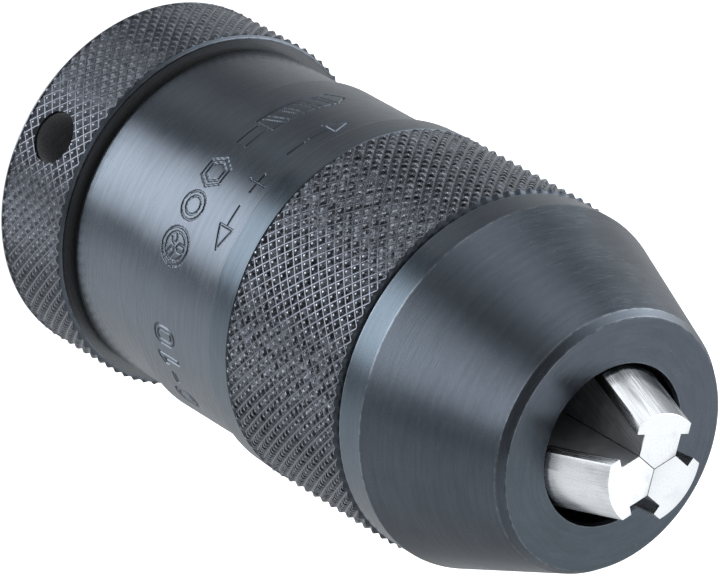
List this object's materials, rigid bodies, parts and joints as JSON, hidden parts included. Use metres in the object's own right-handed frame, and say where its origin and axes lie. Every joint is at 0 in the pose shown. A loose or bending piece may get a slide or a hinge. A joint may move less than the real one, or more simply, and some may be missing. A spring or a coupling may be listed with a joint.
{
  "type": "drill chuck",
  "caption": "Keyless self-tightening drill chuck: knurled sleeve turning on a body with a ball bearing, conical nose, three sliding jaws and a knurled spanner ring.",
  "frame": {"origin": "centre of the rear face, on the chuck's axis", "axes": "+Z along the chuck's axis from the rear face to the nose; jaw_1 lies towards +Y, jaw_2 at 210 degrees and jaw_3 at 330 degrees about +Z, counted from +X"},
  "size_m": [0.0432, 0.0432, 0.0925],
  "materials": {
    "blued_steel": "satin black-oxide finish, fine turning marks",
    "blued_knurl": "black-oxide diamond knurl, worn bright at the tips",
    "ground_steel": "hardened, ground bright",
    "bearing_steel": "hardened and polished",
    "plain_steel": "turned",
    "brass": "stamped",
    "black_rubber": "oiled",
    "felt": "oiled felt"
  },
  "bodies": {
    "chuck": {"chuck_body": "blued_steel", "spanner_ring": "blued_knurl", "ring_lock_pins": "plain_steel", "chamber_plug": "plain_steel", "thrust_washer": "brass", "grease_seal": "black_rubber", "thrust_race_front": "bearing_steel"},
    "sleeve": {"outer_sleeve": "blued_knurl", "nose_cone": "blued_steel", "jaw_guide": "plain_steel", "guide_shim": "plain_steel", "guide_dowels": "plain_steel", "thrust_race_rear": "bearing_steel", "dust_seal": "felt"},
    "cage": {"ball_cage": "brass", "thrust_balls": "bearing_steel"},
    "spindle": {"feed_spindle": "plain_steel"},
    "jaw_a": {"jaw_1": "ground_steel"},
    "jaw_b": {"jaw_2": "ground_steel"},
    "jaw_c": {"jaw_3": "ground_steel"}
  },
  "joints": [
    {"name": "sleeve_turn", "type": "hinge", "parent": "chuck", "child": "sleeve", "pos_m": [0, 0, 0.03], "axis": [0, 0, 1], "range_deg": [0, 1920]},
    {"name": "cage_turn", "type": "hinge", "parent": "chuck", "child": "cage", "pos_m": [0, 0, 0.01915], "axis": [0, 0, 1], "range_deg": [0, 960]},
    {"name": "spindle_feed", "type": "slide", "parent": "sleeve", "child": "spindle", "axis": [0, 0, -1], "range_m": [0, 0.0134]},
    {"name": "jaw_a_slide", "type": "slide", "parent": "sleeve", "child": "jaw_a", "axis": [0, 0.3502, -0.9367], "range_m": [0, 0.0143]},
    {"name": "jaw_b_slide", "type": "slide", "parent": "sleeve", "child": "jaw_b", "axis": [-0.3033, -0.1751, -0.9367], "range_m": [0, 0.0143]},
    {"name": "jaw_c_slide", "type": "slide", "parent": "sleeve", "child": "jaw_c", "axis": [0.3033, -0.1751, -0.9367], "range_m": [0, 0.0143]}
  ],
  "couplings": [
    {"joint": "cage_turn", "follows": "sleeve_turn", "ratio": 0.5},
    {"joint": "spindle_feed", "follows": "sleeve_turn", "m_per_rad": 0.00039789},
    {"joint": "jaw_a_slide", "follows": "sleeve_turn", "m_per_rad": 0.00042479},
    {"joint": "jaw_b_slide", "follows": "sleeve_turn", "m_per_rad": 0.00042479},
    {"joint": "jaw_c_slide", "follows": "sleeve_turn", "m_per_rad": 0.00042479}
  ]
}
